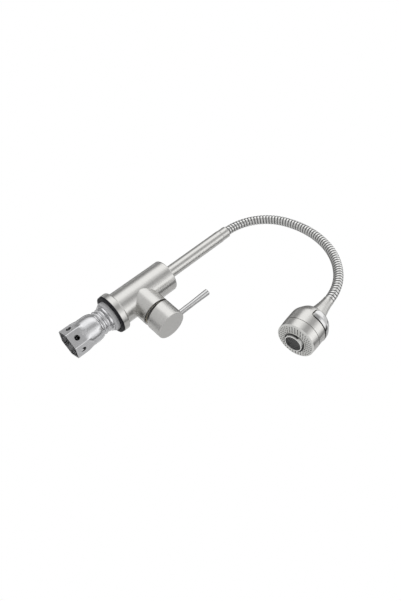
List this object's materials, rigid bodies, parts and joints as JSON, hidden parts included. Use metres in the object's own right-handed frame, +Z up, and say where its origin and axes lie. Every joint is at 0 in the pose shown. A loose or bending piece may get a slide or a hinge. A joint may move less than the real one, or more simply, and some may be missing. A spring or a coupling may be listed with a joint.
{
  "type": "flexible spout kitchen tap",
  "caption": "Single-lever kitchen mixer tap with a swivelling riser, a stay-put wound-steel gooseneck spout and a bell-shaped spray head with a diverter rocker.",
  "frame": {"origin": "on the body axis at the worktop, level with the underside of the base gasket", "axes": "+Z up along the body and riser, +X along the branch that carries the handle; the spout rests turned 11.5 degrees from +X towards -Y"},
  "size_m": [0.2556, 0.0931, 0.3573],
  "materials": {
    "brushed_steel": "brushed",
    "raw_steel": "bright, lightly scuffed",
    "polished_steel": "polished",
    "black_rubber": "matt",
    "grey_rubber": "matt",
    "white_plastic": "satin",
    "grey_plastic": "satin",
    "ceramic": "lapped ceramic",
    "brass": "turned",
    "dark_mesh": "woven wire"
  },
  "bodies": {
    "body": {"tap_body": "brushed_steel", "base_ring": "brushed_steel", "base_gasket": "black_rubber", "rubber_washer": "grey_rubber", "steel_washer": "raw_steel", "threaded_shank": "raw_steel", "fixing_nut": "raw_steel", "cartridge_housing": "white_plastic", "cartridge_seal": "black_rubber", "fixed_disc": "ceramic", "cartridge_nut": "brass", "cartridge_cover": "brushed_steel", "retaining_collar": "brushed_steel"},
    "mixer": {"spindle_guide": "white_plastic", "pivot_pin": "polished_steel"},
    "handle": {"spindle": "brass", "handle_cap": "brushed_steel", "lever_rod": "polished_steel", "grub_screw": "polished_steel"},
    "disc": {"moving_disc": "ceramic", "disc_carrier": "white_plastic"},
    "spout": {"riser_tube": "brushed_steel", "spout_sleeve": "brass", "o_rings": "black_rubber", "hose_ferrule": "brushed_steel", "flex_hose": "polished_steel", "inner_hose": "black_rubber"},
    "head": {"head_neck": "brushed_steel", "head_dome": "brushed_steel", "head_band": "brushed_steel", "flow_divider": "white_plastic", "spray_face": "grey_plastic", "aerator_ring": "grey_plastic", "aerator_mesh": "dark_mesh", "rocker_pin": "polished_steel"},
    "rocker": {"diverter_rocker": "polished_steel"}
  },
  "joints": [
    {"name": "handle_turn", "type": "hinge", "parent": "body", "child": "mixer", "pos_m": [0.0272, 0, 0.0467], "axis": [1, 0, 0], "range_deg": [-50, 50]},
    {"name": "lever_lift", "type": "hinge", "parent": "mixer", "child": "handle", "pos_m": [0.0272, 0, 0.0467], "axis": [0, 1, 0], "range_deg": [0, 15]},
    {"name": "disc_slide", "type": "slide", "parent": "mixer", "child": "disc", "axis": [0, 0, 1], "range_m": [0, 0.0016]},
    {"name": "spout_swivel", "type": "hinge", "parent": "body", "child": "spout", "pos_m": [0, 0, 0.1], "axis": [0, 0, 1], "continuous": true},
    {"name": "spout_flex", "type": "hinge", "parent": "spout", "child": "head", "pos_m": [0.08623, -0.01754, 0.276], "axis": [-0.1994, -0.9799, 0], "range_deg": [-25, 25], "deforming": ["flex_hose", "inner_hose"]},
    {"name": "rocker_tip", "type": "hinge", "parent": "head", "child": "rocker", "pos_m": [0.21688, -0.04412, 0.15299], "axis": [0.1313, -0.0267, -0.991], "range_deg": [-4, 4]}
  ],
  "couplings": [
    {"joint": "disc_slide", "follows": "lever_lift", "m_per_rad": 0.0059}
  ]
}
